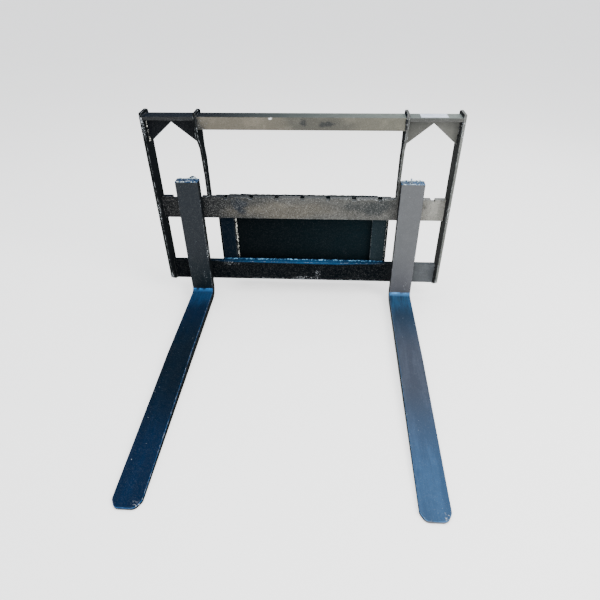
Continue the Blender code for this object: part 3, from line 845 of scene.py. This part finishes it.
def hook_welds(side, material):
    """Both hooks down their sides, where they stand on the fork's back."""
    body = side + "_fork_body"
    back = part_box(side + "_fork")[1].y
    rail_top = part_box("upper_carriage_rail")[1].z
    low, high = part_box(side + "_upper_hook")
    for x, place in ((low.x, "a"), (high.x, "b")):
        bead(f"weld_{side}_hook_{place}", x, back, (rail_top + 0.002, high.z - 0.003),
             0.0026, body, material)
    low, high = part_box(side + "_lower_hook")
    for x, place in ((low.x, "a"), (high.x, "b")):
        bead(f"weld_{side}_lower_{place}", x, back, (low.z + 0.003, low.z + 0.030),
             0.0028, body, material)


def shank_top_welds(side, material):
    """Rough pale metal over the end of the shank, tinted blue as a painted reflection of the sky,
    with one lump near a corner.
    """
    body = side + "_fork_body"
    low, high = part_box(side + "_fork")
    back = high.y
    across = (low.x + 0.004, high.x - 0.004)
    bead(f"weld_{side}_top", across, back - 0.003, high.z + 0.0003,
         0.0032, body, material, UNEVEN)
    bead(f"weld_{side}_top_crest", (high.x - 0.032, high.x - 0.012),
         (back - 0.006, back - 0.002), (high.z + 0.002, high.z + 0.003),
         0.0042, body, material, CRUMBLED)
    bead(f"weld_{side}_top_front", across, back - 0.033, high.z - 0.001,
         0.0016, body, material, CRUMBLED)


def fork_welds():
    painted = weld_metal("fork_weld_painted", (0.010, 0.012, 0.014), (0.28, 0.29, 0.30), 0.40)
    # a blue body and blue-white crests: a painted reflection of the sky over pale weld metal
    pale = weld_metal("fork_weld_pale", (0.020, 0.070, 0.120), (0.70, 0.82, 0.88), 0.85)
    for side in SIDES:
        hook_welds(side, painted)
        shank_top_welds(side, pale)


# ------------------------------------------------------------ floor, light, camera
def build_floor():
    mesh = bpy.data.meshes.new("floor")
    reach = FLOOR_REACH
    corners = [(-reach, -reach, 0.0), (reach, -reach, 0.0), (reach, reach, 0.0), (-reach, reach, 0.0)]
    mesh.from_pydata(corners, [], [(0, 1, 2, 3)])
    floor = bpy.data.objects.new("floor", mesh)
    floor.location = (0.0, 0.0, CAD_BOX[0][2] - FLOOR_DROP)
    bpy.context.scene.collection.objects.link(floor)
    dress(floor, floor_finish())


def soft_light(name, place, target, size, power, colour, mirrored=False):
    """An area light; unless mirrored, polished faces don't show it."""
    lamp = bpy.data.lights.new(name, "AREA")
    lamp.shape = "RECTANGLE"
    lamp.size = size
    lamp.size_y = size
    lamp.energy = power
    lamp.color = colour
    obj = bpy.data.objects.new(name, lamp)
    obj.location = place
    aim = Vector(target) - Vector(place)
    obj.rotation_euler = aim.to_track_quat("-Z", "Y").to_euler()
    obj.visible_glossy = mirrored
    bpy.context.scene.collection.objects.link(obj)


def build_lights():
    middle = (0.0, 0.1, 0.2)
    soft_light("key_right", (2.2, -1.6, 2.4), (0.2, 0.3, 0.3), 1.6, 120.0, (1.0, 0.98, 0.94))
    soft_light("overhead", (0.0, 0.0, 3.4), middle, 3.2, 145.0, (0.97, 0.99, 1.0))
    soft_light("sun_glint", (1.9, 2.4, 1.7), middle, 0.7, 8.0, (1.0, 1.0, 1.0), mirrored=True)


def build_world():
    """A pale backdrop and soft haze, and a dim-to-bright sky that only reflections show."""
    world = bpy.data.worlds.new("soft_surround")
    world.use_nodes = True
    bpy.context.scene.world = world
    g = Graph(world.node_tree)
    direction = g.split(g.node("ShaderNodeTexCoord").outputs["Generated"])
    across = g.ramp(direction["X"], *SKY_ACROSS)
    height = g.ramp(direction["Z"], *SKY_RISE)
    sky = g.mix(height, g.mix(across, *HORIZON), g.mix(across, *ZENITH))
    ray = g.node("ShaderNodeLightPath").outputs
    seen = g.mix(ray["Is Camera Ray"], HAZE, BACKDROP)
    g.put(g.tree.nodes["Background"].inputs["Color"], g.mix(ray["Is Glossy Ray"], seen, sky))


def build_camera():
    camera = bpy.data.cameras.new("camera")
    camera.lens = CAMERA_LENS
    camera.shift_x, camera.shift_y = CAMERA_SHIFT
    obj = bpy.data.objects.new("camera", camera)
    turn = Matrix.Rotation(math.radians(CAMERA_TURN), 4, "Z")
    tip = Matrix.Rotation(math.radians(90.0 - CAMERA_DOWN), 4, "X")
    roll = Matrix.Rotation(math.radians(CAMERA_ROLL), 4, "Z")
    obj.matrix_world = Matrix.Translation(CAMERA_PLACE) @ turn @ tip @ roll
    bpy.context.scene.collection.objects.link(obj)
    bpy.context.scene.camera = obj


smoothing = smooth_group()
for node in NODES.values():
    smooth_round_faces(node, smoothing)
dress_frame()
for side in SIDES:
    dress_fork(side)
    coil_spring(side)
noise.seed_set(WANDER_SEED)
frame_welds()
fork_welds()
build_floor()
build_world()
build_lights()
build_camera()
